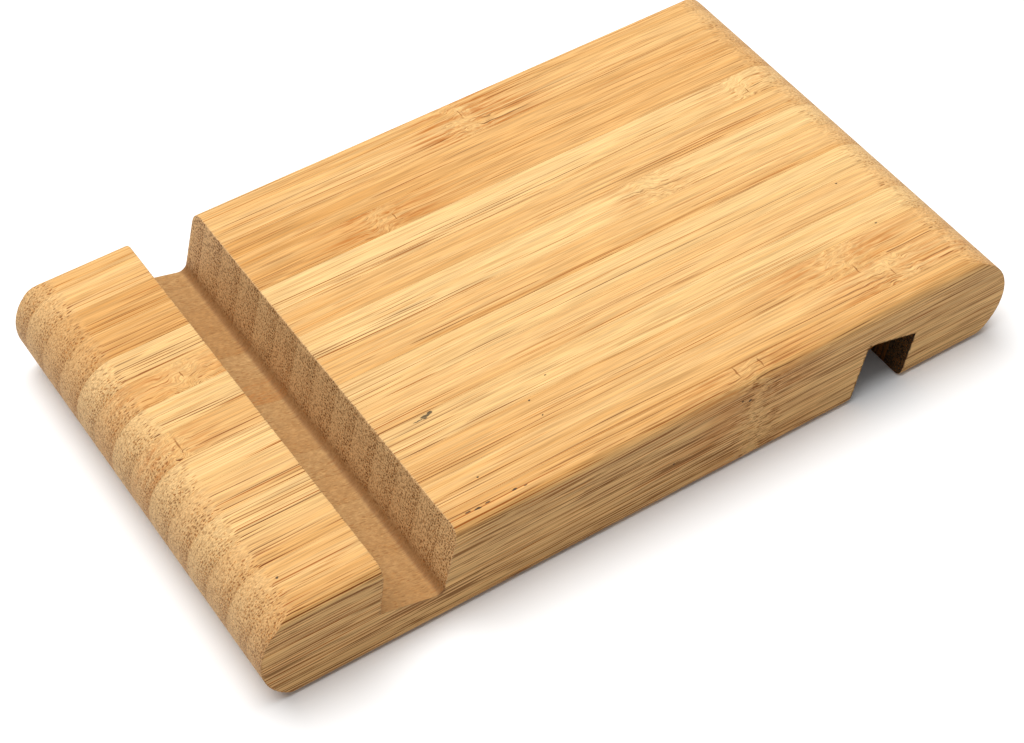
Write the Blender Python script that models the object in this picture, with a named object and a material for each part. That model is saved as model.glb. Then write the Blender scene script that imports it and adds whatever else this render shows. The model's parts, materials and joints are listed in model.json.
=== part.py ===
"""Phone stand in laminated bamboo: one flat block, glued up from upright strips.

The block lies on its underside. A slanted slot across the top holds a phone upright, and a
second slanted slot crosses the underside near the other end. X runs across the strips, Y
along them from the rounded lip to the far end, and Z up. The origin is the middle of the
underside. All sizes are in metres.
"""

import math

import bmesh
import bpy
from mathutils import Vector

# ---- Driving dimensions ----------------------------------------------------------------
WIDTH = 0.080
LENGTH = 0.134
HEIGHT = 0.017

STRIP_PITCH = 0.006  # each strip's thickness, joint to joint
JOINTS_EACH_SIDE = 6  # joints on each side of the one in the middle
JOINT_GAP = 0.0003  # room for the glue film between two strips

LIP_NOSE_DEPTH = 0.0075  # how far each rounded end reaches past the flat faces
FAR_NOSE_DEPTH = 0.0082
NOSE_STEPS = 16

SLOT_TILT = math.radians(15)  # both slots lean the same way
PHONE_SLOT_EDGE_Y = -0.0343  # upper edge of the wall that the phone leans on
PHONE_SLOT_LIP_Y = -0.04644  # upper edge of the lip, on the other side of the slot
PHONE_SLOT_DEPTH = 0.0122  # measured down the leaning wall
PHONE_SLOT_FLOOR = 0.0106  # width of the slot's floor
UNDER_SLOT_Y = 0.0368  # lower edge of the underside slot, on the lip's side
UNDER_SLOT_DEPTH = 0.0116
UNDER_SLOT_WIDTH = 0.0096
FILLET_RADIUS = 0.0015
FILLET_STEPS = 5

UPPER_EDGE_RADIUS = 0.0020  # the block's long edges, on its two outer strips
LOWER_EDGE_RADIUS = 0.0013
EDGE_STEPS = 6

BAMBOO_ROUGHNESS = 0.55
# One colour for each strip from -X to +X, linear RGB: bamboo strips never match quite.
PALE = (0.80, 0.52, 0.26)
HONEY = (0.74, 0.46, 0.22)
TOASTED = (0.66, 0.38, 0.17)
STRIP_COLOURS = (
    HONEY, HONEY, TOASTED, TOASTED, PALE, HONEY, PALE,
    HONEY, PALE, HONEY, PALE, HONEY, HONEY, TOASTED,
)  # fmt: skip

UP_THE_SLOT = Vector((math.sin(SLOT_TILT), math.cos(SLOT_TILT)))
ACROSS_THE_SLOT = Vector((math.cos(SLOT_TILT), -math.sin(SLOT_TILT)))


# ---- The side outline: (y, z) points between an underside and a top ---------------------
def at_height(first, second, z):
    """The point of the line through two points that lies at height z."""
    return first.lerp(second, (z - first.y) / (second.y - first.y))


def fillet(before, corner, after):
    """The arc that rounds a corner between the directions to the points before and after it."""
    to_before = (before - corner).normalized()
    to_after = (after - corner).normalized()
    half_angle = to_before.angle(to_after) / 2
    centre = corner + (to_before + to_after).normalized() * (FILLET_RADIUS / math.sin(half_angle))
    reach = FILLET_RADIUS / math.tan(half_angle)
    start = (corner + to_before * reach - centre).normalized()
    end = (corner + to_after * reach - centre).normalized()
    shares = [step / FILLET_STEPS for step in range(FILLET_STEPS + 1)]
    return [centre + start.slerp(end, share) * FILLET_RADIUS for share in shares]


def nose(end_y, depth, low_z, high_z):
    """Part of the half ellipse round one end, rising from low_z to high_z."""
    half_height = HEIGHT / 2
    low_angle = math.asin(low_z / half_height - 1)
    high_angle = math.asin(high_z / half_height - 1)
    inwards = -math.copysign(depth, end_y)
    points = []
    for step in range(NOSE_STEPS + 1):
        angle = low_angle + (high_angle - low_angle) * step / NOSE_STEPS
        y = end_y + inwards * (1 - math.cos(angle))
        points.append(Vector((y, half_height * (1 + math.sin(angle)))))
    return points


def underside_slot(low_z):
    """From the slot's lower edge on the lip's side, over its roof, to its other lower edge."""
    near_foot = Vector((UNDER_SLOT_Y, 0))
    rounded_corner = near_foot + UP_THE_SLOT * UNDER_SLOT_DEPTH
    sharp_corner = rounded_corner + ACROSS_THE_SLOT * UNDER_SLOT_WIDTH
    below_sharp_corner = sharp_corner - UP_THE_SLOT * UNDER_SLOT_DEPTH
    return [
        at_height(near_foot, rounded_corner, low_z),
        *fillet(near_foot, rounded_corner, sharp_corner),
        sharp_corner,
        at_height(below_sharp_corner, sharp_corner, low_z),
    ]


def phone_slot(high_z):
    """From the upper edge of the leaning wall, over the slot's floor, to the lip's edge."""
    wall_edge = Vector((PHONE_SLOT_EDGE_Y, HEIGHT))
    rounded_corner = wall_edge - UP_THE_SLOT * PHONE_SLOT_DEPTH
    sharp_corner = rounded_corner - ACROSS_THE_SLOT * PHONE_SLOT_FLOOR
    lip_edge = Vector((PHONE_SLOT_LIP_Y, HEIGHT))
    return [
        at_height(wall_edge, rounded_corner, high_z),
        *fillet(wall_edge, rounded_corner, sharp_corner),
        sharp_corner,
        at_height(lip_edge, sharp_corner, high_z),
    ]


def side_outline(low_z=0.0, high_z=HEIGHT):
    """The whole outline, whose points match one for one whatever the two heights are."""
    far_nose = nose(LENGTH / 2, FAR_NOSE_DEPTH, low_z, high_z)
    lip_nose = nose(-LENGTH / 2, LIP_NOSE_DEPTH, low_z, high_z)
    return [*underside_slot(low_z), *far_nose, *phone_slot(high_z), *reversed(lip_nose)]


# ---- Strips ----------------------------------------------------------------------------
def drop(distance, radius):
    """How far a rounded edge has fallen away, at this distance from the block's side."""
    if distance >= radius:
        return 0.0
    return radius - math.sqrt(radius**2 - (radius - distance) ** 2)


def strip_rings(inner_x, end_x):
    """Rings of (x, y, z) points across a strip, closing in where its edges are rounded."""
    if abs(end_x) < WIDTH / 2:
        return [[(x, *point) for point in side_outline()] for x in (inner_x, end_x)]
    rings = [[(inner_x, *point) for point in side_outline()]]
    for step in range(EDGE_STEPS + 1):
        angle = math.pi / 2 * step / EDGE_STEPS
        distance = UPPER_EDGE_RADIUS * (1 - math.sin(angle))
        low_z = drop(distance, LOWER_EDGE_RADIUS)
        high_z = HEIGHT - drop(distance, UPPER_EDGE_RADIUS)
        x = end_x - math.copysign(distance, end_x)
        rings.append([(x, *point) for point in side_outline(low_z, high_z)])
    return rings


def loft(name, rings):
    """A closed solid through matching rings of points, with a face over each end."""
    bm = bmesh.new()
    rows = [[bm.verts.new(point) for point in ring] for ring in rings]
    bm.faces.new(reversed(rows[0]))
    bm.faces.new(rows[-1])
    for row, next_row in zip(rows, rows[1:]):
        for i in range(len(row)):
            after = (i + 1) % len(row)
            bm.faces.new((row[i], row[after], next_row[after], next_row[i]))
    bmesh.ops.recalc_face_normals(bm, faces=bm.faces)
    mesh = bpy.data.meshes.new(name)
    bm.to_mesh(mesh)
    bm.free()
    mesh.shade_smooth()
    mesh.set_sharp_from_angle(angle=math.radians(30))
    return mesh


def bamboo(name, colour):
    material = bpy.data.materials.new(name)
    material.use_nodes = True
    shader = material.node_tree.nodes["Principled BSDF"]
    shader.inputs["Base Color"].default_value = (*colour, 1)
    shader.inputs["Roughness"].default_value = BAMBOO_ROUGHNESS
    shader.inputs["Metallic"].default_value = 0
    material.diffuse_color = (*colour, 1)
    return material


def strip_faces():
    """The two X positions of each strip, the one nearer the block's middle first."""
    joints = [i * STRIP_PITCH for i in range(-JOINTS_EACH_SIDE, JOINTS_EACH_SIDE + 1)]
    lows = [-WIDTH / 2, *(x + JOINT_GAP / 2 for x in joints)]
    highs = [*(x - JOINT_GAP / 2 for x in joints), WIDTH / 2]
    return [sorted(pair, key=abs) for pair in zip(lows, highs)]


def make_strips():
    for number, (inner_x, end_x) in enumerate(strip_faces(), start=1):
        name = f"strip_{number:02d}"
        strip = bpy.data.objects.new(name, loft(name, strip_rings(inner_x, end_x)))
        strip.data.materials.append(bamboo(f"bamboo_{number:02d}", STRIP_COLOURS[number - 1]))
        bpy.context.scene.collection.objects.link(strip)


for leftover in list(bpy.data.objects):
    bpy.data.objects.remove(leftover)
make_strips()
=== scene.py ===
# %% [markdown]
# # A phone stand in laminated bamboo
# The real object is one flat block, glued up from fourteen upright bamboo strips, with a slanted slot
# across its top for a phone and another across its underside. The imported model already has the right
# sizes, so this script makes the surfaces: each strip is rebuilt as a fine mesh in the same place, and
# one bamboo material is written for all of them. It could be one block with a picture of wood on it,
# but a solid pattern that runs through the strips is what makes lines on the faces turn into dots on
# the cut ends, as they do in real bamboo.

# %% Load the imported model
import json
import math

import bpy
import numpy as np
from mathutils import Matrix, Vector
from mathutils.geometry import delaunay_2d_cdt


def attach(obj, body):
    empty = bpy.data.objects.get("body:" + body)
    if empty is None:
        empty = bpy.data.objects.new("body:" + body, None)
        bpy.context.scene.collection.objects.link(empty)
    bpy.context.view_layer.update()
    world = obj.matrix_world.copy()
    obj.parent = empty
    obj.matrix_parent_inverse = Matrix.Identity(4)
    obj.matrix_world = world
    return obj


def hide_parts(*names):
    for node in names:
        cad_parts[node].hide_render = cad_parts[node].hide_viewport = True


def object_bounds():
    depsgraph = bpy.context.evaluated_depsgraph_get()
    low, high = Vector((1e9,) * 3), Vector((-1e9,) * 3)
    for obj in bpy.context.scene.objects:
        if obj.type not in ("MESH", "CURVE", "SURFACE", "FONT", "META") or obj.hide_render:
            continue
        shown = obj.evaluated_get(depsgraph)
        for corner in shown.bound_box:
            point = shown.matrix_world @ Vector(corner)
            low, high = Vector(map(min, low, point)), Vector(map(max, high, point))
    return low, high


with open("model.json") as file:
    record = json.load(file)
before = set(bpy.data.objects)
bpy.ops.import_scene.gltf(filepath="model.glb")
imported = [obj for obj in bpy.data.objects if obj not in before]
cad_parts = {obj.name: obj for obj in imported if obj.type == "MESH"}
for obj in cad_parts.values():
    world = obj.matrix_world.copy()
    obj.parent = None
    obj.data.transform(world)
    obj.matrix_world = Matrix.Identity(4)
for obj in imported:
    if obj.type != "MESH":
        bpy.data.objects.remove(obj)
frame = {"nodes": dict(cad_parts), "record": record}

cad_low, cad_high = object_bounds()
print("CAD box in mm:", [round(1000 * side, 2) for side in cad_high - cad_low])

# %% [markdown]
# ## Sizes
# The block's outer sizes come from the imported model. The slots' sizes aren't in its box, so they are
# named here again, as in the part's own source. Lengths are in millimetres, because a joiner thinks in
# them and because every pattern below is scaled from a real size; the meshes are turned to metres once,
# at the end.

# %% Name the sizes, in millimetres
MM = 0.001
WIDTH, LENGTH, HEIGHT = (1000 * side for side in cad_high - cad_low)
STRIP_PITCH = 6.0
STRIP_COUNT = len(frame["nodes"])
FIRST_JOINT = -STRIP_PITCH * (STRIP_COUNT - 2) / 2
VISIBLE_GAP = 0.02  # a glue film, drawn as the narrowest gap that keeps the strips apart

LIP_NOSE_DEPTH = 7.5
FAR_NOSE_DEPTH = 8.2
SLOT_TILT = math.radians(15)
PHONE_SLOT_EDGE_Y = -34.3
PHONE_SLOT_LIP_Y = -46.44
PHONE_SLOT_DEPTH = 12.2
PHONE_SLOT_FLOOR = 10.6
UNDER_SLOT_Y = 36.8
UNDER_SLOT_DEPTH = 11.6
UNDER_SLOT_WIDTH = 9.6
FILLET_RADIUS = 1.5  # where the cutter's rounded corner ran
EASED_RADIUS = 0.22  # where sandpaper broke a sharp edge
UPPER_EDGE_RADIUS = 2.0
LOWER_EDGE_RADIUS = 1.3
print("block in mm:", round(WIDTH, 2), round(LENGTH, 2), round(HEIGHT, 2), "strips:", STRIP_COUNT)

# %% [markdown]
# ## The side outline
# Seen from the side, every strip has the same outline: two rounded ends, a flat top and underside, and
# the two slots. It could be drawn as a curve, but the long edges of the block are rounded too, so the
# two outer strips need the same outline at other heights, point for point. A function that takes the
# two heights gives both.

# %% Draw one rounded corner and one rounded end
UP_THE_SLOT = np.array([math.sin(SLOT_TILT), math.cos(SLOT_TILT)])
ACROSS_THE_SLOT = np.array([math.cos(SLOT_TILT), -math.sin(SLOT_TILT)])
POINT_SPACING = 0.42  # along the outline, fine enough for the wandering fibres


def unit(vector):
    return vector / np.linalg.norm(vector)


def rounded(before, corner, after, radius, steps):
    """The arc that rounds a corner, from the side of the point before it to that of the one after."""
    to_before, to_after = unit(before - corner), unit(after - corner)
    half_angle = math.acos(np.clip(to_before @ to_after, -1, 1)) / 2
    centre = corner + unit(to_before + to_after) * (radius / math.sin(half_angle))
    reach = radius / math.tan(half_angle)
    start = unit(corner + to_before * reach - centre)
    end = unit(corner + to_after * reach - centre)
    turn = math.acos(np.clip(start @ end, -1, 1))
    shares = np.linspace(0, 1, steps + 1)[:, None]
    arms = (np.sin((1 - shares) * turn) * start + np.sin(shares * turn) * end) / math.sin(turn)
    return centre + radius * arms


def nose(end_y, depth, low_z, high_z):
    """The stretch of the half ellipse round one end that lies between two heights, rising."""
    half_height = HEIGHT / 2
    low_angle = math.asin(low_z / half_height - 1)
    high_angle = math.asin(high_z / half_height - 1)
    steps = round(math.pi * (half_height + depth) / 2 / POINT_SPACING)
    angles = np.linspace(low_angle, high_angle, steps + 1)
    y = end_y - math.copysign(depth, end_y) * (1 - np.cos(angles))
    return np.column_stack([y, half_height * (1 + np.sin(angles))])


print("points round the lip:", len(nose(-LENGTH / 2, LIP_NOSE_DEPTH, 0.0, HEIGHT)))

# %% [markdown]
# The corners of each slot follow from its tilt, depth and width. The straight stretches between the
# arcs are then filled with evenly spaced points, always the same number of them, so that outlines at
# two heights can be joined point to point.

# %% Draw the whole outline
def at_height(first, second, z):
    return first + (second - first) * (z - first[1]) / (second[1] - first[1])


def slot_corners(low_z, high_z):
    """The four corners of each slot, in the order in which the outline meets them."""
    near_foot = np.array([UNDER_SLOT_Y, 0.0])
    roof_start = near_foot + UP_THE_SLOT * UNDER_SLOT_DEPTH
    roof_end = roof_start + ACROSS_THE_SLOT * UNDER_SLOT_WIDTH
    below_end = roof_end - UP_THE_SLOT * UNDER_SLOT_DEPTH
    near_mouth = at_height(near_foot, roof_start, low_z)
    under = [near_mouth, roof_start, roof_end, at_height(below_end, roof_end, low_z)]
    edge = np.array([PHONE_SLOT_EDGE_Y, HEIGHT])
    floor_start = edge - UP_THE_SLOT * PHONE_SLOT_DEPTH
    floor_end = floor_start - ACROSS_THE_SLOT * PHONE_SLOT_FLOOR
    lip = np.array([PHONE_SLOT_LIP_Y, HEIGHT])
    upper_mouth = at_height(edge, floor_start, high_z)
    phone = [upper_mouth, floor_start, floor_end, at_height(lip, floor_end, high_z)]
    return under, phone


def slot_arcs(before, corners, after):
    """A slot's four corners as arcs: eased mouth, cutter's fillet, sharp corner, eased mouth."""
    radii = (EASED_RADIUS, FILLET_RADIUS, EASED_RADIUS, EASED_RADIUS)
    steps = (4, 8, 3, 4)
    path = [before, *corners, after]
    return [
        rounded(path[i], path[i + 1], path[i + 2], radii[i], steps[i]) for i in range(len(corners))
    ]


def join_stretches(stretches, counts):
    """All the arcs in one ring, with counts[i] evenly spaced points after stretch i."""
    ring = []
    for i, stretch in enumerate(stretches):
        following = stretches[(i + 1) % len(stretches)][0]
        shares = np.linspace(0, 1, counts[i] + 2)[1:-1, None]
        ring += [stretch, stretch[-1] + (following - stretch[-1]) * shares]
    return np.vstack(ring)


def outline_stretches(low_z, high_z):
    under, phone = slot_corners(low_z, high_z)
    far_nose = nose(LENGTH / 2, FAR_NOSE_DEPTH, low_z, high_z)
    lip_nose = nose(-LENGTH / 2, LIP_NOSE_DEPTH, low_z, high_z)[::-1]
    under_arcs = slot_arcs(lip_nose[-1], under, far_nose[0])
    phone_arcs = slot_arcs(far_nose[-1], phone, lip_nose[0])
    return [*under_arcs, far_nose, *phone_arcs, lip_nose]


FULL_STRETCHES = outline_stretches(0.0, HEIGHT)
GAPS = [
    np.linalg.norm(FULL_STRETCHES[(i + 1) % len(FULL_STRETCHES)][0] - stretch[-1])
    for i, stretch in enumerate(FULL_STRETCHES)
]
FILL_COUNTS = [max(1, round(gap / POINT_SPACING)) for gap in GAPS]


def side_outline(low_z=0.0, high_z=HEIGHT):
    return join_stretches(outline_stretches(low_z, high_z), FILL_COUNTS)


print("outline points:", len(side_outline()))

# %% [markdown]
# ## The strips' meshes
# A strip is that outline carried across its thickness, with a column of points every eighth of a
# millimetre. Two outlines and a Solidify modifier would give the shape, but the grain's grooves are
# narrower than a millimetre and need points all the way across. The outer two strips close in towards
# the block's side, where its long edges are rounded, and their side face is filled with its own grid of
# points, so that the wood's relief shows there too.

# %% Carry the outline across one strip
COLUMN_SPACING = 0.125
EDGE_COLUMNS = 14


def is_side(x):
    """Whether this X is the block's own side, and not a glue joint."""
    return abs(x) > WIDTH / 2 - VISIBLE_GAP


def drop(distance, radius):
    """How far a rounded edge has fallen away at this distance from the block's side."""
    inside = max(0.0, radius - distance)
    return radius - math.sqrt(radius**2 - inside**2)


def strip_columns(inner_x, end_x):
    """The X of each column, closer together where a long edge is rounded."""
    if not is_side(end_x):
        return np.linspace(inner_x, end_x, round(abs(end_x - inner_x) / COLUMN_SPACING) + 1)
    start = end_x - math.copysign(UPPER_EDGE_RADIUS, end_x)
    flat = np.linspace(inner_x, start, round(abs(start - inner_x) / COLUMN_SPACING) + 1)
    angles = np.linspace(0, math.pi / 2, EDGE_COLUMNS + 1)[1:]
    curved = start + math.copysign(UPPER_EDGE_RADIUS, end_x) * np.sin(angles)
    return np.concatenate([flat, curved])


def column_outline(x):
    distance = WIDTH / 2 - abs(x)
    if distance >= UPPER_EDGE_RADIUS:
        return side_outline()
    top_z = HEIGHT - drop(distance, UPPER_EDGE_RADIUS)
    return side_outline(drop(distance, LOWER_EDGE_RADIUS), top_z)


print("columns in an inner strip:", len(strip_columns(0.0, STRIP_PITCH)))

# %% Fill a side face with a grid of points
SIDE_GRID = (0.45, 0.30)  # spacing along and up, in millimetres
GRID_MARGIN = 0.12  # how far the grid keeps from the outline
INSIDE_ONLY = 1  # the triangulation's setting for triangles inside the outline
SAME_POINT = 1e-6  # points nearer than this are one


def side_face(ring):
    """Extra (y, z) points inside a closed ring, and triangles over ring and points together."""
    y = np.arange(-LENGTH / 2, LENGTH / 2, SIDE_GRID[0])
    z = np.arange(SIDE_GRID[1], HEIGHT, SIDE_GRID[1])
    grid = np.stack(np.meshgrid(y, z), axis=-1).reshape(-1, 2)
    count = len(ring)
    edges = [(i, (i + 1) % count) for i in range(count)]
    clear = inside_ring(grid, ring)
    coords = [Vector(point) for point in (*ring, *grid[clear])]
    found = delaunay_2d_cdt(coords, edges, [list(range(count))], INSIDE_ONLY, SAME_POINT)
    triangles, origin = found[2], found[3]
    place = {i: sources[0] for i, sources in enumerate(origin) if sources}
    faces = [[place[i] for i in face] for face in triangles if all(i in place for i in face)]
    return np.array(grid[clear]), faces


def inside_ring(points, ring):
    """Which points lie inside a closed ring and at least the margin away from its own points."""
    start, end = ring, np.roll(ring, -1, axis=0)
    rises = (start[:, 1] > points[:, 1:2]) != (end[:, 1] > points[:, 1:2])
    height = np.where(end[:, 1] == start[:, 1], 1e-9, end[:, 1] - start[:, 1])
    crossing = start[:, 0] + (points[:, 1:2] - start[:, 1]) / height * (end[:, 0] - start[:, 0])
    inside = (rises & (points[:, :1] < crossing)).sum(axis=1) % 2 == 1
    near = np.min(
        (points[:, :1] - ring[:, 0]) ** 2 + (points[:, 1:2] - ring[:, 1]) ** 2, axis=1
    )
    return inside & (near > GRID_MARGIN**2)


print("grid points in a side face:", len(side_face(column_outline(WIDTH / 2))[0]))

# %% [markdown]
# A closed mesh needs its faces to look outwards. Every strip is built from its inner side towards its
# outer side, so on one half of the block the order of each face is turned round.

# %% Build one strip's mesh data
def strip_mesh_data(inner_x, end_x):
    """Points in millimetres and faces of one closed strip."""
    columns = strip_columns(inner_x, end_x)
    rings = [column_outline(x) for x in columns]
    count = len(rings[0])
    points = [np.column_stack([np.full(count, x), ring]) for x, ring in zip(columns, rings)]
    index = np.arange(count)
    after = (index + 1) % count
    faces = []
    for row in range(len(columns) - 1):
        low, high = row * count, (row + 1) * count
        quads = np.column_stack([low + index, low + after, high + after, high + index])
        faces += quads.tolist()
    faces.append(index[::-1].tolist())
    last = (len(columns) - 1) * count
    if is_side(end_x):
        extra, triangles = side_face(rings[-1])
        points.append(np.column_stack([np.full(len(extra), columns[-1]), extra]))
        faces += [[last + i for i in face] for face in triangles]
    else:
        faces.append((last + index).tolist())
    if end_x > inner_x:
        return np.vstack(points), faces
    return np.vstack(points), [face[::-1] for face in faces]


def strip_sides(number):
    """The X of a strip's two faces, the one nearer the block's middle first."""
    low = FIRST_JOINT + (number - 2) * STRIP_PITCH
    high = low + STRIP_PITCH
    low = -WIDTH / 2 if number == 1 else low + VISIBLE_GAP / 2
    high = WIDTH / 2 if number == STRIP_COUNT else high - VISIBLE_GAP / 2
    return sorted((low, high), key=abs)


print("strip 1 runs from", strip_sides(1)[1], "to", strip_sides(1)[0], "mm")

# %% [markdown]
# ## How the fibres run
# Bamboo has no rings. Its wood is packed with bundles of vessels and fibres that run the length of the
# stem, close together under the skin and far apart towards the hollow. Each strip shows that change
# from one face to the other. At a stem joint, a node, the bundles twist and cross. A texture stretched
# along the block would do for straight wood, but not for the nodes. So the flow is worked out here, at
# every point of a strip, as grain coordinates that the material reads: where two points have the same
# first and third coordinate, the same bundle passes through both.

# %% List the nodes that show, and each strip's own drift
# Strip number: (position along the block, half length of the disturbed band and sideways step, in
# millimetres, then how brown the wood is beside it, and how much its fibres swirl).
STEM_NODES = {
    1: (12.5, 2.6, 0.5, 0.9, 0.5),
    2: (13.5, 3.0, -0.7, 1.1, 1.0),
    4: (-10.0, 2.6, 0.9, 1.0, 1.0),
    5: (55.5, 2.2, 0.6, 0.5, 0.8),
    6: (-51.5, 3.6, 0.8, 0.6, 1.1),
    7: (30.0, 2.6, -0.6, 0.45, 0.8),
    8: (-60.0, 1.6, 0.8, 0.6, 1.0),
    12: (43.5, 3.4, 0.9, 0.8, 1.1),
    13: (49.5, 3.2, -0.8, 0.8, 1.1),
    14: (18.4, 3.2, 0.2, 0.6, 0.3),
}
MOST_DRIFT = (0.004, 0.006)  # sideways and up, for each millimetre along
rng = np.random.default_rng(14)
STRIP_DRIFT = rng.uniform(-1, 1, (STRIP_COUNT + 1, 2)) * MOST_DRIFT
STRIP_PHASE = rng.uniform(0, 1, (STRIP_COUNT + 1, 4))
print("strips that show a node:", sorted(STEM_NODES))

# %% Make smooth unevenness
# Each kind: how high it is and how long along X, Y and Z, in millimetres, and its seed.
SIDEWAYS_RIPPLE = (0.05, (1.6, 34, 1.6), 500)
UPWARD_RIPPLE = (0.07, (1.4, 40, 1.6), 600)
NODE_EDGE = (0.8, (5, 30, 6), 100)
NODE_TWIST = (0.42, (3.4, 5.2, 4.0), 200)
TWIST_BESIDE = (0.18, (2.4, 6.0, 3.0), 250)
RISE_BESIDE = (0.10, (1.2, 7.0, 3.0), 350)
STAIN_PATCHES = (0.5, (1.2, 26, 9), 400)
WAVES_ADDED = 9


def ripples(number, places, kind):
    """A few plane waves of random directions added up, different for each strip."""
    height, lengths, seed = kind
    chosen = np.random.default_rng(seed + number)
    total = np.zeros(len(places))
    for _ in range(WAVES_ADDED):
        direction = chosen.normal(size=3) / np.array(lengths)
        total += np.sin(2 * math.pi * (places @ direction + chosen.uniform()))
    return height * total / math.sqrt(WAVES_ADDED)


print("waves in each kind of unevenness:", WAVES_ADDED)

# %% Work out the flow of the fibres
# Long waves along the block: height and length over 2 pi, in millimetres.
SIDEWAYS_WAVES = ((0.10, 17), (0.02, 5.3))
UPWARD_WAVE = (0.16, 23)
STEP_LENGTH = 1.1  # a node's sideways step is made within about this distance
SHORTENED = 7  # lines at a node are one more than this many times shorter
STRIP_OFFSET = 40 * np.array([1, 3, 2])  # gives each strip its own part of the pattern


def straight_grain(number, places):
    """Grain coordinates away from any node: fibres that drift and wave a little."""
    x, y, z = places.T
    sideways, upward = STRIP_DRIFT[number]
    phase = 2 * math.pi * STRIP_PHASE[number]
    grain_x = x + sideways * y + ripples(number, places, SIDEWAYS_RIPPLE)
    for (height, length), start in zip(SIDEWAYS_WAVES, phase):
        grain_x += height * np.sin(y / length + start)
    height, length = UPWARD_WAVE
    grain_z = z + upward * y + height * np.sin(y / length + phase[2])
    grain_z += ripples(number, places, UPWARD_RIPPLE)
    return np.column_stack([grain_x, y, grain_z])


def grain_flow(number, places):
    """Grain coordinates, how disturbed the wood is, and how stained, at places in millimetres."""
    grain = straight_grain(number, places) + number * STRIP_OFFSET
    if number not in STEM_NODES:
        return grain, np.zeros(len(places)), np.zeros(len(places))
    middle, half, step, stain, swirl = STEM_NODES[number]
    along = places[:, 1] - middle - ripples(number, places, NODE_EDGE)
    disturbed = np.exp(-((along / half) ** 2))
    near = np.exp(-((along / (2.4 * half)) ** 2))
    twist = disturbed * ripples(number, places, NODE_TWIST)
    twist += near * ripples(number, places, TWIST_BESIDE)
    grain[:, 0] += step * np.tanh(along / STEP_LENGTH) + swirl * twist
    grain[:, 1] += SHORTENED * half * np.tanh(along / half)
    grain[:, 2] += swirl * near * ripples(number, places, RISE_BESIDE)
    beside = np.exp(-(((np.abs(along) - 1.8 * half) / (2.3 * half)) ** 2))
    patchy = 0.5 + ripples(number, places, STAIN_PATCHES)
    return grain, disturbed, stain * beside * np.clip(1.7 * patchy - 0.35, 0, 1)


middle_of_strip_1 = np.array([[-WIDTH / 2, STEM_NODES[1][0], HEIGHT / 2]])
print("how disturbed strip 1 is at its node:", grain_flow(1, middle_of_strip_1)[1].round(2))

# %% Give each strip its place in the stem, and its tone
def across_wall(number, places):
    """Where each point lies across the stem's wall: 0 at the strip's hollow side, 1 under the skin."""
    start = FIRST_JOINT + (number - 2) * STRIP_PITCH
    if number == STRIP_COUNT:
        start -= STRIP_PITCH / 3  # cut from the skin side, so its outer face shows skin wood
    return np.clip((places[:, 0] - start) / STRIP_PITCH, 0, 1)


def towards_far_end(places):
    """0 at the lip's end of the block, 1 at its far end."""
    return np.clip(places[:, 1] / LENGTH + 0.5, 0, 1)


# Strip number: (extra brownness at the lip, and at the far end).
STRIP_TONE = {
    1: (0.08, 0.08), 2: (0.10, 0.04), 3: (0.24, 0.00), 4: (0.20, 0.02), 5: (-0.06, -0.08),
    6: (0.20, 0.00), 7: (0.02, -0.08), 8: (0.16, 0.04), 9: (0.04, -0.02), 10: (0.06, -0.02),
    11: (0.04, 0.00), 12: (0.14, 0.08), 13: (0.10, 0.04), 14: (0.14, 0.04),
}


def strip_tone(number, places):
    """A strip's extra brownness, which changes evenly from one end to the other."""
    lip_tone, far_tone = STRIP_TONE[number]
    return lip_tone + (far_tone - lip_tone) * towards_far_end(places)


print("brownest strip at the lip:", max(STRIP_TONE, key=STRIP_TONE.get))

# %% Find what the saw and the cutter touched, and where shade is painted in the slots
ON_FACE = 0.05  # a point no further than this past a cut face lies on it, in millimetres
# The slot's floor, and its wall low down, are painted darker: partly wood worn by rubbing, partly painted
# shade in the recess.
FLOOR_WORN_AND_SHADED_TO = 1.9  # above the phone slot's floor
WALL_WORN_AND_SHADED_TO = 11.0
WALL_WEAR_AND_SHADE = 0.25  # against 1 on the floor
# The corner between the slot's floor and wall is painted with shade, darkest just above the floor.
CORNER_SHADE_HEIGHT = 0.4  # where the corner is darkest, above the floor
CORNER_SHADE_SPREAD = 1.9
CORNER_SHADE_REACH = 1.1  # how far out from the wall it is dark
DEEP_SHADE_FROM = 1.5  # fully painted with deep shade this far up the slot below


def phone_slot_marks(places):
    """Whether a point is on the phone slot's cut faces, how worn and shaded it is there (rubbing plus
    painted shade, low in the slot), and how much painted shade its corner gets."""
    from_edge = places[:, 1:] - (PHONE_SLOT_EDGE_Y, HEIGHT)
    along, across = from_edge @ UP_THE_SLOT, from_edge @ ACROSS_THE_SLOT
    inside = (along > -PHONE_SLOT_DEPTH - ON_FACE) & (across < ON_FACE)
    inside &= across > -PHONE_SLOT_FLOOR - 2 * ON_FACE
    above_floor = np.clip(along + PHONE_SLOT_DEPTH, 0, None)
    # Rubbing and painted shade: full on the floor, fainter low on the wall.
    low = np.clip(FLOOR_WORN_AND_SHADED_TO - above_floor, 0, 1)
    high = WALL_WEAR_AND_SHADE * np.clip(1 - above_floor / WALL_WORN_AND_SHADED_TO, 0, 1)
    # Painted shade in the corner: low on the wall and close to it.
    up_the_wall = np.exp(-(((above_floor - CORNER_SHADE_HEIGHT) / CORNER_SHADE_SPREAD) ** 2))
    by_the_wall = np.clip((across + CORNER_SHADE_REACH) / 0.5, 0, 1)
    return inside.astype(float), inside * np.maximum(low, high), inside * up_the_wall * by_the_wall


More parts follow.
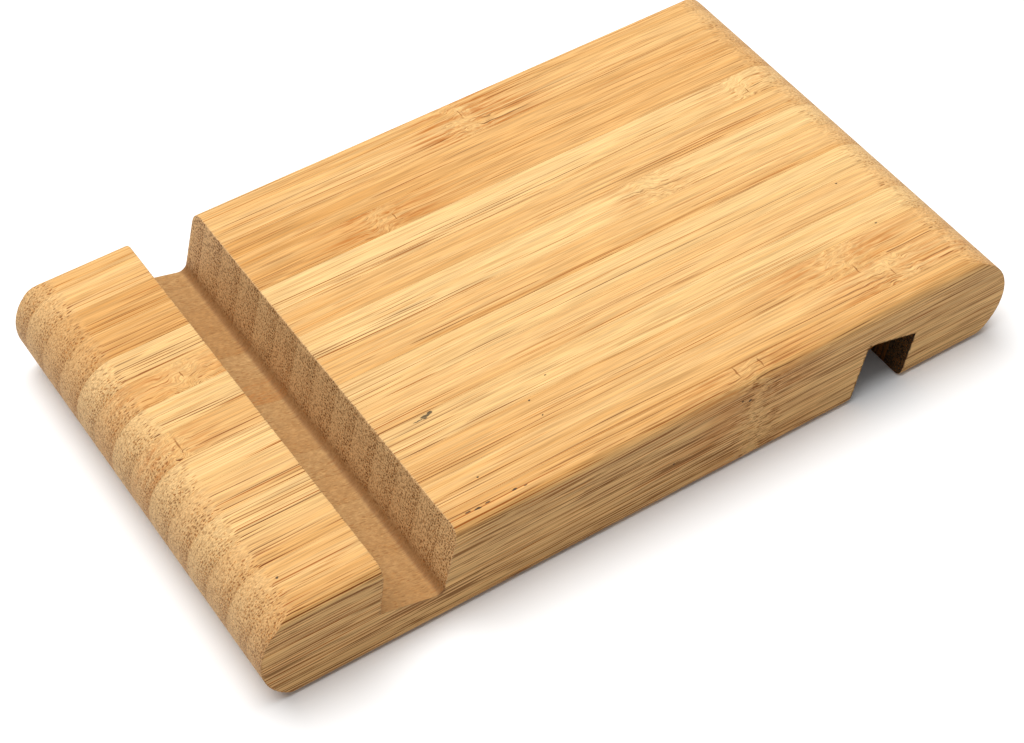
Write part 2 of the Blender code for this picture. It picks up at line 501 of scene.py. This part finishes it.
# Painted deep shade fills the slot below, from just inside its mouth.
def under_slot_painted_shade(places):
    """How much painted deep shade a point gets: 0 outside the slot below, 1 well inside it."""
    from_foot = places[:, 1:] - (UNDER_SLOT_Y, 0)
    along, across = from_foot @ UP_THE_SLOT, from_foot @ ACROSS_THE_SLOT
    inside = (along < UNDER_SLOT_DEPTH + ON_FACE) & (across > -ON_FACE)
    inside &= across < UNDER_SLOT_WIDTH + ON_FACE
    return inside * np.clip(along / DEEP_SHADE_FROM, 0, 1)


roof_of_the_slot = np.array([[0, *UP_THE_SLOT * UNDER_SLOT_DEPTH]]) + (0, UNDER_SLOT_Y, 0)
print("painted_shade on the underside slot's roof:", under_slot_painted_shade(roof_of_the_slot))

# %% [markdown]
# ## One helper for every node
# Both the relief and the material are node trees. One small function adds a node, sets its properties,
# sets or links its inputs, and gives back the output that the next node reads. The settings that come
# up again and again are named once, so that the trees read as plain lists.

# %% Add a node
def node(tree, inputs, kind, output=0, **settings):
    """Adds a node; its inputs come as values or sockets, in order or by name."""
    made = tree.nodes.new(kind)
    for name, value in settings.items():
        setattr(made, name, value)
    for key, value in inputs.items() if isinstance(inputs, dict) else enumerate(inputs):
        if isinstance(value, bpy.types.NodeSocket):
            tree.links.new(value, made.inputs[key])
        else:
            made.inputs[key].default_value = value
    return made.outputs[output] if made.outputs else None


PRODUCT = {"kind": "ShaderNodeMath", "operation": "MULTIPLY"}
QUOTIENT = {"kind": "ShaderNodeMath", "operation": "DIVIDE"}
SUM = {"kind": "ShaderNodeMath", "operation": "ADD"}
DIFFERENCE = {"kind": "ShaderNodeMath", "operation": "SUBTRACT"}
# A value eased between two limits: the value, its two limits, and what they become (0 and 1 if left out).
EASED = {"kind": "ShaderNodeMapRange", "interpolation_type": "SMOOTHSTEP"}
# Two colours mixed. The colours are inputs 6 and 7, because the node hides its other kinds of input.
MIXED = {"kind": "ShaderNodeMix", "data_type": "RGBA", "output": 2}


def linear(hex_colour, alpha=1.0):
    """An sRGB hex colour as the linear values that Blender's sockets take."""
    shades = [int(hex_colour[i : i + 2], 16) / 255 for i in (1, 3, 5)]
    turned = [c / 12.92 if c <= 0.04045 else ((c + 0.055) / 1.055) ** 2.4 for c in shades]
    return (*turned, alpha)


print("mid grey, linear:", round(linear("#808080")[0], 3))

# %% [markdown]
# ## The bamboo's pattern
# Bamboo's bundles are cells in grain space: narrow across the grain and very long along it, so one
# pattern gives both the lines on a face and the dots on a cut end. It could be two patterns, one for
# each, but then no line would end in a dot. Everything finer or broader than a bundle is noise that is
# stretched in the same way.

# %% Draw streaks and bundles
BUNDLE_SPACING = 0.50  # between bundles, in millimetres
BUNDLE_LENGTH = 34.0  # along a bundle, its colour changes over about this length
BUNDLE_RADIUS = 0.34  # on a face, as a share of the spacing
BUNDLE_SHARES = (0.32, 1.0)  # how many of the places for a bundle are filled: at the hollow, at the skin
BUNDLE_CROWDING = 0.5  # 0 is a square pattern, 1 has no order
THIN_SPACING = 0.34
THIN_LENGTH = 14.0
THIN_SHARES = (0.25, 0.9)
THIN_CROWDING = 0.9
FIBRE_SPACING = 0.17  # the finest lines, drawn a little coarser than real ones so that they show
OWN_LINE = 5.3  # moves neighbouring bundles apart in the noise, so that each has its own


def streaks(tree, grain, spacing, length, detail=2.0):
    """Noise between 0 and 1, this wide across the fibres and this long along them."""
    scale = (1 / spacing, 1 / length, 1 / spacing)
    place = node(tree, (grain, scale), "ShaderNodeVectorMath", operation="MULTIPLY")
    inputs = {"Vector": place, "Scale": 1.0, "Detail": detail, "Roughness": 0.6}
    return node(tree, inputs, "ShaderNodeTexNoise")


def bundles(tree, grain, wall, spacing, length, radius, shares, crowding):
    """A mask of bundles that crowd towards the skin, and each bundle's own random number."""
    x, y, z = node(tree, (grain,), "ShaderNodeSeparateXYZ").node.outputs
    across = (node(tree, (x, spacing), **QUOTIENT), node(tree, (z, spacing), **QUOTIENT))
    inputs = {
        "Vector": node(tree, across, "ShaderNodeCombineXYZ"),
        "Scale": 1.0,
        "Randomness": crowding,
    }
    cells = node(tree, inputs, "ShaderNodeTexVoronoi", voronoi_dimensions="2D").node.outputs
    chance = node(tree, (cells["Color"],), "ShaderNodeSeparateXYZ").node.outputs
    centre = node(tree, (cells["Position"],), "ShaderNodeSeparateXYZ").node.outputs
    own_line = (
        node(tree, (centre[0], OWN_LINE), **PRODUCT),
        node(tree, (centre[1], OWN_LINE), **PRODUCT),
        node(tree, (y, length), **QUOTIENT),
    )
    own_line = node(tree, own_line, "ShaderNodeCombineXYZ")
    profile = node(tree, {"Vector": own_line, "Scale": 1.0, "Detail": 2.0}, "ShaderNodeTexNoise")
    share = node(tree, (wall, 0.0, 1.0, *shares), **EASED)
    luck = node(tree, (share, chance[0]), **DIFFERENCE)
    present = node(tree, (luck, -0.05, 0.05), **EASED)
    size = node(tree, (chance[1], 0.0, 1.0, 0.7, 1.15), **EASED)
    size = node(tree, (size, radius), **PRODUCT)
    away = node(tree, (cells["Distance"], size), **QUOTIENT)
    disc = node(tree, (away, 0.7, 1.0, 1.0, 0.0), **EASED)
    drawn = node(tree, (profile, 0.34, 0.52, 0.12, 1.0), **EASED)
    mask = node(tree, (disc, present), **PRODUCT)
    return node(tree, (mask, drawn), **PRODUCT), chance[2]


print("places for a bundle in a strip's end:", round(STRIP_PITCH * HEIGHT / BUNDLE_SPACING**2))

# %% [markdown]
# ## Flecks and cracks
# The planer left a few black specks on the top and on one long side, and where it cut through a stem
# node the wood shows short cracks across the fibres. Each is an ellipsoid whose edge wanders, listed by
# its centre and half sizes in millimetres. They could be cut into the mesh, but they have no depth.

# %% List the flecks and cracks
FLECKS = (
    (18.5, -26.6, 17.0, 0.30, 1.0, 0.5), (18.3, -25.8, 17.0, 0.34, 0.5, 0.5),
    (18.8, -28.0, 17.0, 0.10, 1.0, 0.5), (18.9, -26.9, 17.0, 0.14, 0.4, 0.5),
    (37.6, -31.2, 17.0, 0.14, 0.5, 0.7), (37.8, -29.6, 17.0, 0.18, 0.7, 0.7),
    (37.6, -27.9, 17.0, 0.13, 0.5, 0.7), (37.7, -23.4, 17.0, 0.16, 0.5, 0.7),
    (37.9, -21.6, 17.0, 0.12, 0.4, 0.7), (24.5, -12.2, 17.0, 0.16, 0.22, 0.5),
    (28.0, -12.2, 17.0, 0.14, 0.2, 0.5), (21.5, -7.5, 17.0, 0.13, 0.2, 0.5),
    (32.8, -26.5, 17.0, 0.15, 0.2, 0.5), (12.8, 54.0, 17.0, 0.15, 0.25, 0.5),
    (23.5, 53.5, 17.0, 0.15, 0.2, 0.5), (32.7, -59.5, 17.0, 0.2, 0.3, 0.8),
    (40.0, 17.0, 13.0, 0.6, 0.3, 0.28), (40.0, 15.6, 13.6, 0.6, 0.22, 0.2),
    (40.0, 3.2, 7.4, 0.5, 0.2, 0.15), (-40.0, -21.0, 9.5, 0.5, 0.25, 0.2),
)
CRACKS = (
    (37.0, 16.4, 17.0, 1.2, 0.13, 0.5), (37.4, 20.6, 17.0, 1.1, 0.14, 0.5),
    (3.0, -59.6, 16.2, 1.9, 0.22, 1.2), (-35.8, 13.2, 17.0, 0.9, 0.11, 0.5),
    (-20.6, -8.4, 17.0, 1.0, 0.11, 0.5), (-9.2, -52.6, 17.0, 0.8, 0.11, 0.5),
    (30.0, 44.6, 17.0, 1.1, 0.12, 0.5), (33.4, 49.0, 17.0, 0.9, 0.12, 0.5),
    (-13.6, 55.8, 17.0, 0.8, 0.11, 0.5),
)
RAGGED = 1.3  # waves of the wandering edge in a millimetre


def marks(tree, ellipsoids, wander):
    """1 inside any of the ellipsoids, with an edge that wanders by this many millimetres."""
    place = node(tree, (), "ShaderNodeTexCoord", "Object")
    place = node(tree, (place, (1 / MM,) * 3), "ShaderNodeVectorMath", operation="MULTIPLY")
    inputs = {"Vector": place, "Scale": RAGGED, "Detail": 2.0}
    ragged = node(tree, inputs, "ShaderNodeTexNoise", "Color")
    inputs = (ragged, (wander,) * 3, place)
    place = node(tree, inputs, "ShaderNodeVectorMath", operation="MULTIPLY_ADD")
    nearest = 9.0
    for x, y, z, *half_sizes in ellipsoids:
        centre = [value + wander / 2 for value in (x, y, z)]
        away = node(tree, (place, centre), "ShaderNodeVectorMath", operation="SUBTRACT")
        away = node(tree, (away, half_sizes), "ShaderNodeVectorMath", operation="DIVIDE")
        away = node(tree, (away,), "ShaderNodeVectorMath", "Value", operation="LENGTH")
        nearest = node(tree, (nearest, away), "ShaderNodeMath", operation="MINIMUM")
    return node(tree, (nearest, 0.7, 1.15, 1.0, 0.0), **EASED)


print("flecks:", len(FLECKS), "cracks:", len(CRACKS))

# %% [markdown]
# ## The bamboo material
# The block is bamboo, planed, cut, sanded and wiped with a thin clear oil. To the eye that is a warm
# honey ground, thin brown lines where bundles lie along a face, dots where they are cut across, a faint
# satin gloss, and paler and darker strips side by side. One function could hold it all, but it would be
# long and hard to tune. So each layer has its own function here, and adds to the colour that it is
# given.

# %% The ground under the lines
SKIN_SIDE = "#D8B27A"
CUT_END = "#CFA97A"
CUT_END_BY_THE_SKIN = "#94683A"
NODE_ON_A_SIDE = "#DDB77A"


def ground(tree, grain, at, ground_hex, deep_hex):
    """Broad bands of tone, darker towards the skin, with the finest fibres over them."""
    bands = node(tree, (at["wall"], 0.4, 1.0, 0.0, 0.10), **EASED)
    bands = node(tree, (bands, streaks(tree, grain, 0.9, 50.0, 3.0)), **SUM)
    bands = node(tree, (bands, at["tone"]), **SUM)
    shade = node(tree, (bands, 0.25, 1.0), **EASED)
    colour = node(tree, {0: shade, 6: linear(ground_hex), 7: linear(deep_hex)}, **MIXED)
    weathered = node(tree, (at["skin_face"], 0.50), **PRODUCT)
    colour = node(tree, {0: weathered, 6: colour, 7: linear(SKIN_SIDE)}, **MIXED)
    cut_across = node(tree, (at["end_grain"], 0.65), **PRODUCT)
    colour = node(tree, {0: cut_across, 6: colour, 7: linear(CUT_END)}, **MIXED)
    dense = node(tree, (at["wall"], 0.45, 0.95, 0.0, 0.22), **EASED)
    dense = node(tree, (dense, at["end_grain"]), **PRODUCT)
    colour = node(tree, {0: dense, 6: colour, 7: linear(CUT_END_BY_THE_SKIN)}, **MIXED)
    pale = node(tree, (at["skin_face"], 0.0, 1.0, 0.32, 0.05), **EASED)
    pale = node(tree, (pale, at["disturbed"]), **PRODUCT)
    colour = node(tree, {0: pale, 6: colour, 7: linear(NODE_ON_A_SIDE)}, **MIXED)
    fibres = streaks(tree, grain, FIBRE_SPACING, 11.0)
    fine = node(tree, (fibres, 0.28, 0.72, 0.74, 1.16), **EASED)
    colour = node(tree, (colour, fine), "ShaderNodeVectorMath", operation="MULTIPLY")
    return colour, fibres


print("finest fibres, in mm:", FIBRE_SPACING)

# %% What the saw and the cutter left in the slots, and the shade painted into them
FRESH_CUT = "#EBC088"
# Worn wood with painted shade, for the slot's floor and low wall.
WORN_AND_SHADED = "#9C7549"
# Painted shade for the slot's corner.
PAINTED_CORNER_SHADE = "#6E4522"
# Painted deep shade for the slot below.
PAINTED_DEEP_SHADE = "#1D1812"
GRIT_SIZE = (0.5, 0.9)  # across and along the grain, in millimetres


def tooled(tree, grain, at, colour):
    """The phone slot is freshly cut, dull from rubbing and painted with shade on its floor and low on
    its wall, and painted with shade in its corner; the slot below is painted near black as deep shade."""
    fresh = node(tree, (at["worn_and_shaded"], 0.3, 0.9, 0.5, 0.0), **EASED)
    fresh = node(tree, (fresh, at["sawn"]), **PRODUCT)
    colour = node(tree, {0: fresh, 6: colour, 7: linear(FRESH_CUT)}, **MIXED)
    grit = streaks(tree, grain, *GRIT_SIZE, 3.0)
    # Wood worn by rubbing, with painted shade, on the slot's floor and low on its wall.
    dull_and_shaded = node(tree, (grit, 0.3, 0.7, 0.62, 0.90), **EASED)
    dull_and_shaded = node(tree, (dull_and_shaded, at["worn_and_shaded"]), **PRODUCT)
    colour = node(tree, {0: dull_and_shaded, 6: colour, 7: linear(WORN_AND_SHADED)}, **MIXED)
    # Painted shade in the corner between the slot's floor and wall.
    corner = node(tree, (at["corner"], 0.60), **PRODUCT)
    colour = node(tree, {0: corner, 6: colour, 7: linear(PAINTED_CORNER_SHADE)}, **MIXED)
    # Painted deep shade in the slot below.
    deep_shade_amount = node(tree, (grit, 0.35, 0.7, 1.0, 0.9), **EASED)
    deep_shade_amount = node(tree, (deep_shade_amount, at["deep_shade"]), **PRODUCT)
    return node(tree, {0: deep_shade_amount, 6: colour, 7: linear(PAINTED_DEEP_SHADE)}, **MIXED)


print("grit in the slots, in mm:", GRIT_SIZE)

# %% Where lines and dots fade
LINE_FADING = (
    ("worn_and_shaded", (0.5, 1.0, 1.0, 0.3)),  # on the slot's rubbed floor
    ("disturbed", (0.55, 1.0, 1.0, 0.75)),  # in the torn wood of a node
    ("wall", (0.1, 0.95, 0.6, 1.0)),  # towards the stem's hollow
    ("faded", (0.0, 1.0, 1.0, 0.75)),  # along the block towards its far end
)


def line_strength(tree, at):
    strength = 1.0
    for value, limits in LINE_FADING:
        weaker = node(tree, (at[value], *limits), **EASED)
        strength = node(tree, (strength, weaker), **PRODUCT)
    return strength


def end_sanding(tree, at):
    """1 at the lip, falling to 0.5 at the far end, where pores and dots look as if sanded finer."""
    return node(tree, (at["faded"], 0.7, 1.0, 1.0, 0.5), **EASED)


print("places where lines fade:", [value for value, _ in LINE_FADING])

# %% Pores and thin lines
PORE = "#704A26"
THIN_LIGHT = "#AE6618"
THIN_DARK = "#7C420E"


def pores(tree, grain, at, colour):
    """Small open vessels on the cut ends, strongest on the slot's sawn wall."""
    mask = node(tree, (streaks(tree, grain, 0.30, 3.0), 0.36, 0.54, 0.66, 0.0), **EASED)
    mask = node(tree, (mask, at["end_grain"]), **PRODUCT)
    mask = node(tree, (mask, end_sanding(tree, at)), **PRODUCT)
    rougher = node(tree, (at["sawn"], 0.0, 1.0, 0.8, 1.05), **EASED)
    mask = node(tree, (mask, rougher), **PRODUCT)
    return node(tree, {0: mask, 6: colour, 7: linear(PORE)}, **MIXED)


def thin_lines(tree, grain, at, colour):
    """The smaller bundles, also given back on their own for the relief."""
    radius = node(tree, (at["end_grain"], 0.0, 1.0, 0.22, 0.32), **EASED)
    size = (THIN_SPACING, THIN_LENGTH, radius)
    small, chance = bundles(tree, grain, at["wall"], *size, THIN_SHARES, THIN_CROWDING)
    small = node(tree, (small, line_strength(tree, at)), **PRODUCT)
    brown = node(tree, {0: chance, 6: linear(THIN_LIGHT), 7: linear(THIN_DARK)}, **MIXED)
    amount = node(tree, (small, 0.85), **PRODUCT)
    return node(tree, {0: amount, 6: colour, 7: brown}, **MIXED), small


print("thin lines, in mm apart:", THIN_SPACING)

# %% Stains and streaks
NODE_STAIN = "#A85E1A"
SKIN_STREAK = "#6E3F14"


def node_stains(tree, grain, at, colour):
    """Brown patches beside a stem node."""
    patches = node(tree, (streaks(tree, grain, 0.3, 8.0), 0.3, 0.6, 0.0, 0.75), **EASED)
    stain = node(tree, (patches, at["stained"]), **PRODUCT)
    return node(tree, {0: stain, 6: colour, 7: linear(NODE_STAIN)}, **MIXED)


def skin_streaks(tree, grain, at, colour):
    """Dark streaks on the block's long sides, most of them near the skin and near the lip."""
    streak = node(tree, (streaks(tree, grain, 0.34, 24.0, 3.0), 0.54, 0.59, 0.0, 0.8), **EASED)
    streak = node(tree, (streak, at["skin_face"]), **PRODUCT)
    near_skin = node(tree, (at["wall"], 0.0, 0.6, 0.35, 1.0), **EASED)
    streak = node(tree, (streak, near_skin), **PRODUCT)
    near_lip = node(tree, (at["faded"], 0.5, 1.0, 1.0, 0.6), **EASED)
    streak = node(tree, (streak, near_lip), **PRODUCT)
    return node(tree, {0: streak, 6: colour, 7: linear(SKIN_STREAK)}, **MIXED)


print("stain and streak colours:", NODE_STAIN, SKIN_STREAK)

# %% Thick lines and dots
THICK_LIGHT = "#98500E"
THICK_DARK = "#5C2E0A"
DOT = "#6C4824"


def thick_lines(tree, grain, at, colour):
    """The larger bundles: lines along a face, greyer dots on a cut end."""
    radius = node(tree, (at["end_grain"], 0.0, 1.0, 0.22, BUNDLE_RADIUS), **EASED)
    size = (BUNDLE_SPACING, BUNDLE_LENGTH, radius)
    big, chance = bundles(tree, grain, at["wall"], *size, BUNDLE_SHARES, BUNDLE_CROWDING)
    big = node(tree, (big, line_strength(tree, at)), **PRODUCT)
    line = node(tree, {0: chance, 6: linear(THICK_LIGHT), 7: linear(THICK_DARK)}, **MIXED)
    line = node(tree, {0: at["end_grain"], 6: line, 7: linear(DOT)}, **MIXED)
    dots = node(tree, (at["end_grain"], 0.1, 0.5, 1.0, 0.74), **EASED)
    ending = node(tree, {0: at["end_grain"], 2: 1.0, 3: end_sanding(tree, at)}, "ShaderNodeMix")
    dots = node(tree, (dots, ending), **PRODUCT)
    rougher = node(tree, (at["sawn"], 0.0, 1.0, 1.0, 1.3), **EASED)
    dots = node(tree, (dots, rougher), **PRODUCT)
    amount = node(tree, (big, dots), **PRODUCT)
    return node(tree, {0: amount, 6: colour, 7: line}, **MIXED)


print("thick lines, in mm apart:", BUNDLE_SPACING)

# %% Put the layers together
POINT_VALUES = (
    "wall", "tone", "faded", "disturbed", "stained",
    "end_grain", "skin_face", "sawn", "worn_and_shaded", "corner", "deep_shade",
)
CRACK = "#7A4512"
FLECK = "#2B2721"
SATIN_GLOSS = 0.14
SATIN_ROUGHNESS = (0.56, 0.72)  # on the smoothest and the roughest fibres
RELIEF = 0.03 * MM


def bamboo(name, ground_hex, deep_hex):
    material = bpy.data.materials.new(name)
    material.use_nodes = True
    tree = material.node_tree
    shader = tree.nodes["Principled BSDF"]
    read = {"kind": "ShaderNodeAttribute", "output": "Fac"}
    at = {value: node(tree, (), attribute_name=value, **read) for value in POINT_VALUES}
    grain = node(tree, (), "ShaderNodeAttribute", "Vector", attribute_name="grain")
    colour, fibres = ground(tree, grain, at, ground_hex, deep_hex)
    colour = tooled(tree, grain, at, colour)
    colour = pores(tree, grain, at, colour)
    colour, small = thin_lines(tree, grain, at, colour)
    colour = node_stains(tree, grain, at, colour)
    colour = skin_streaks(tree, grain, at, colour)
    colour = thick_lines(tree, grain, at, colour)
    cracked = node(tree, (marks(tree, CRACKS, 0.5), 0.7), **PRODUCT)
    colour = node(tree, {0: cracked, 6: colour, 7: linear(CRACK)}, **MIXED)
    black = node(tree, (marks(tree, FLECKS, 0.35), 0.85), **PRODUCT)
    colour = node(tree, {0: black, 6: colour, 7: linear(FLECK)}, **MIXED)
    tree.links.new(colour, shader.inputs["Base Color"])
    # The oil leaves a faint satin gloss, a little duller in the bundles and gone in the painted deep
    # shade below.
    shader.inputs["Specular IOR Level"].default_value = SATIN_GLOSS
    rough = node(tree, (fibres, 0.2, 0.8, *SATIN_ROUGHNESS), **EASED)
    # More roughness in the slot below, where deep shade is painted.
    duller_in_deep_shade = node(tree, (at["deep_shade"], 0.4), **PRODUCT)
    tree.links.new(node(tree, (rough, duller_in_deep_shade), **SUM), shader.inputs["Roughness"])
    level = node(tree, (fibres, 0.6), **PRODUCT)
    level = node(tree, (level, small), **DIFFERENCE)
    bump = {"Strength": 0.3, "Distance": RELIEF, "Height": level}
    tree.links.new(node(tree, bump, "ShaderNodeBump"), shader.inputs["Normal"])
    return material


MATERIALS = {
    "bamboo_pale": bamboo("Oiled bamboo, pale", "#E0B97E", "#CE9E5F"),
    "bamboo_honey": bamboo("Oiled bamboo, honey", "#DDB277", "#C99555"),
    "bamboo_toasted": bamboo("Oiled bamboo, toasted", "#D9AA6D", "#C08A4A"),
}
print("materials:", [material.name for material in MATERIALS.values()])

# %% [markdown]
# ## Open grain
# A planed bamboo face isn't quite smooth: each bundle that was cut open leaves a shallow groove. The
# relief could be left to the material's bump, but real grooves keep their shape in an exported mesh.
# The grooves follow the same rule as the painted lines, so Geometry Nodes carve them with the same
# bundle pattern, always inwards, which keeps the block's size.

# %% Write the tree that opens the grain
GROOVE_DEPTH = 0.04 * MM


def open_grain_tree():
    tree = bpy.data.node_groups.new("open grain", "GeometryNodeTree")
    tree.interface.new_socket("Geometry", in_out="INPUT", socket_type="NodeSocketGeometry")
    for name, value in (
        ("Groove depth", GROOVE_DEPTH),
        ("Bundle spacing", BUNDLE_SPACING),
        ("Bundle length", BUNDLE_LENGTH),
        ("Bundle radius", BUNDLE_RADIUS),
    ):
        socket = tree.interface.new_socket(name, in_out="INPUT", socket_type="NodeSocketFloat")
        socket.default_value = value
    tree.interface.new_socket("Finish", in_out="INPUT", socket_type="NodeSocketMaterial")
    tree.interface.new_socket("Geometry", in_out="OUTPUT", socket_type="NodeSocketGeometry")
    given = node(tree, (), "NodeGroupInput").node.outputs
    read = {"kind": "GeometryNodeInputNamedAttribute", "output": "Attribute"}
    grain = node(tree, {"Name": "grain"}, data_type="FLOAT_VECTOR", **read)
    wall = node(tree, {"Name": "wall"}, **read)
    exposed = node(tree, {"Name": "exposed"}, **read)
    size = (given["Bundle spacing"], given["Bundle length"], given["Bundle radius"])
    mask, _ = bundles(tree, grain, wall, *size, BUNDLE_SHARES, BUNDLE_CROWDING)
    depth = node(tree, (mask, given["Groove depth"]), **PRODUCT)
    depth = node(tree, (depth, exposed), **PRODUCT)
    inwards = node(tree, (depth, -1.0), **PRODUCT)
    normal = node(tree, (), "GeometryNodeInputNormal")
    offset = node(tree, {0: normal, "Scale": inwards}, "ShaderNodeVectorMath", operation="SCALE")
    moved = {"Geometry": given["Geometry"], "Offset": offset}
    carved = node(tree, moved, "GeometryNodeSetPosition")
    real = node(tree, (carved,), "GeometryNodeRealizeInstances")
    finish = {"Geometry": real, "Material": given["Finish"]}
    node(tree, (node(tree, finish, "GeometryNodeSetMaterial"),), "NodeGroupOutput")
    return tree


OPEN_GRAIN = open_grain_tree()
print("open grain tree:", len(OPEN_GRAIN.nodes), "nodes")

# %% [markdown]
# ## The strips
# Every strip takes its slot, and so its material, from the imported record. Its mesh carries the grain
# as values on its points, and the tree above carves it. The carving could stay a live modifier, but the
# result becomes a plain mesh again, so that any program that opens the model sees the same grooves.

# %% Give a strip its grain
SLOT_OF = {part["node"]: part["material_slot"] for part in frame["record"]["subparts"]}
SKIN_FACE_DEPTH = 1.0  # further than this from any glue joint, a face can be the block's own side
GROOVES_START = 0.1  # no groove is cut nearer than this to a glue joint


def write_values(mesh, name, values, kind="FLOAT"):
    attribute = mesh.attributes.new(name, kind, "POINT")
    key = "vector" if kind == "FLOAT_VECTOR" else "value"
    attribute.data.foreach_set(key, np.ascontiguousarray(values, np.float32).ravel())


def write_grain(mesh, number, places):
    grain, disturbed, stained = grain_flow(number, places)
    sawn, worn_and_shaded, corner = phone_slot_marks(places)
    normals = np.empty(len(places) * 3, np.float32)
    mesh.vertices.foreach_get("normal", normals)
    facing = np.abs(normals.reshape(-1, 3))
    joints = [x for x in strip_sides(number) if not is_side(x)]
    from_joint = np.min([np.abs(places[:, 0] - x) for x in joints], axis=0)
    facing_sideways = np.clip(facing[:, 0] * 2.6 - 1.5, 0, 1)
    write_values(mesh, "grain", grain, "FLOAT_VECTOR")
    for name, values in (
        ("wall", across_wall(number, places)),
        ("tone", strip_tone(number, places)),
        ("faded", towards_far_end(places)),
        ("disturbed", disturbed),
        ("stained", stained),
        ("end_grain", facing[:, 1]),
        ("skin_face", np.where(from_joint > SKIN_FACE_DEPTH, facing_sideways, 0)),
        # The phone slot's values carry its cut faces, its rubbing with painted shade, and painted shade
        # in its corner; the slot below carries painted deep shade.
        ("sawn", sawn),
        ("worn_and_shaded", worn_and_shaded),
        ("corner", corner),
        ("deep_shade", under_slot_painted_shade(places)),
        ("exposed", np.clip(from_joint / GROOVES_START, 0, 1)),
    ):
        write_values(mesh, name, values)


print("finishes:", sorted(set(SLOT_OF.values())))

# %% Make the strips
SHARP_ANGLE = math.radians(35)


def make_strip(number):
    cad_name = f"strip_{number:02d}"
    places, faces = strip_mesh_data(*strip_sides(number))
    mesh = bpy.data.meshes.new(f"bamboo_strip_{number:02d}")
    mesh.from_pydata((places * MM).tolist(), [], faces)
    mesh.shade_smooth()
    mesh.set_sharp_from_angle(angle=SHARP_ANGLE)
    write_grain(mesh, number, places)
    strip = bpy.data.objects.new(mesh.name, mesh)
    bpy.context.scene.collection.objects.link(strip)
    carve = strip.modifiers.new("open grain", "NODES")
    carve.node_group = OPEN_GRAIN
    sockets = {item.name: item.identifier for item in OPEN_GRAIN.interface.items_tree}
    carve[sockets["Finish"]] = MATERIALS[SLOT_OF[cad_name]]
    graph = bpy.context.evaluated_depsgraph_get()
    carved = bpy.data.meshes.new_from_object(
        strip.evaluated_get(graph), preserve_all_data_layers=True, depsgraph=graph
    )
    strip.modifiers.clear()
    strip.data = carved
    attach(strip, "root")
    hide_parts(cad_name)
    return strip


strips = [make_strip(number) for number in range(1, STRIP_COUNT + 1)]
counts = [sum(len(face.vertices) - 2 for face in strip.data.polygons) for strip in strips]
print("triangles:", sum(counts), "most in one strip:", max(counts))

# %% [markdown]
# ## Floor, light and camera
# The stand lies on a white sheet under a big soft light, and is seen from above its lip. The floor is
# only there to catch a soft shadow, so it is one plain surface.

# %% Lay the floor
FLOOR_SIZE = 4.0
FLOOR_DROP = 0.05 * MM  # keeps the underside from lying exactly in the floor
half = FLOOR_SIZE / 2
floor_mesh = bpy.data.meshes.new("floor")
floor_mesh.from_pydata(
    [(-half, -half, 0), (half, -half, 0), (half, half, 0), (-half, half, 0)], [], [(0, 1, 2, 3)]
)
floor = bpy.data.objects.new("floor", floor_mesh)
floor.location.z = cad_low.z - FLOOR_DROP
bpy.context.scene.collection.objects.link(floor)
paper = bpy.data.materials.new("White paper")
paper.use_nodes = True
paper_shader = paper.node_tree.nodes["Principled BSDF"]
paper_shader.inputs["Base Color"].default_value = linear("#F0F0F0")
paper_shader.inputs["Roughness"].default_value = 0.9
floor_mesh.materials.append(paper)
print("floor height in mm:", round(floor.location.z / MM, 3))

# %% Hang the lights
SOFTBOX_PLACE = (-0.22, -0.06, 0.95)
SOFTBOX_SIZE = 1.2
SOFTBOX_WATTS = 16.0
ROOM_LIGHT = 0.3
softbox = bpy.data.lights.new("overhead softbox", "AREA")
softbox.shape = "DISK"
softbox.size = SOFTBOX_SIZE
softbox.energy = SOFTBOX_WATTS
lamp = bpy.data.objects.new("overhead softbox", softbox)
lamp.location = SOFTBOX_PLACE
lamp.rotation_euler = (-Vector(SOFTBOX_PLACE)).to_track_quat("-Z", "Y").to_euler()
bpy.context.scene.collection.objects.link(lamp)
world = bpy.data.worlds.new("studio")
bpy.context.scene.world = world
world.use_nodes = True
world.node_tree.nodes["Background"].inputs["Color"].default_value = linear("#FFFFFF")
world.node_tree.nodes["Background"].inputs["Strength"].default_value = ROOM_LIGHT
bpy.context.scene.view_settings.view_transform = "Standard"
print("softbox above the stand, in metres:", SOFTBOX_PLACE[2])

# %% Place the camera
CAMERA_PLACE = Vector((0.23441, -0.14215, 0.28888))
LOOKS_AT = Vector((0.01140, -0.00711, 0.0085))
CAMERA_ROLL = math.radians(-2.18)
camera_data = bpy.data.cameras.new("camera")
camera_data.lens = 87.3
camera_data.sensor_width = 36.0
camera_data.clip_start = 0.01
camera = bpy.data.objects.new("camera", camera_data)
aim = (LOOKS_AT - CAMERA_PLACE).to_track_quat("-Z", "Y").to_matrix()
turned = aim @ Matrix.Rotation(CAMERA_ROLL, 3, "Z")
camera.matrix_world = Matrix.Translation(CAMERA_PLACE) @ turned.to_4x4()
bpy.context.scene.collection.objects.link(camera)
bpy.context.scene.camera = camera
print("camera to stand, in mm:", round((LOOKS_AT - CAMERA_PLACE).length / MM))
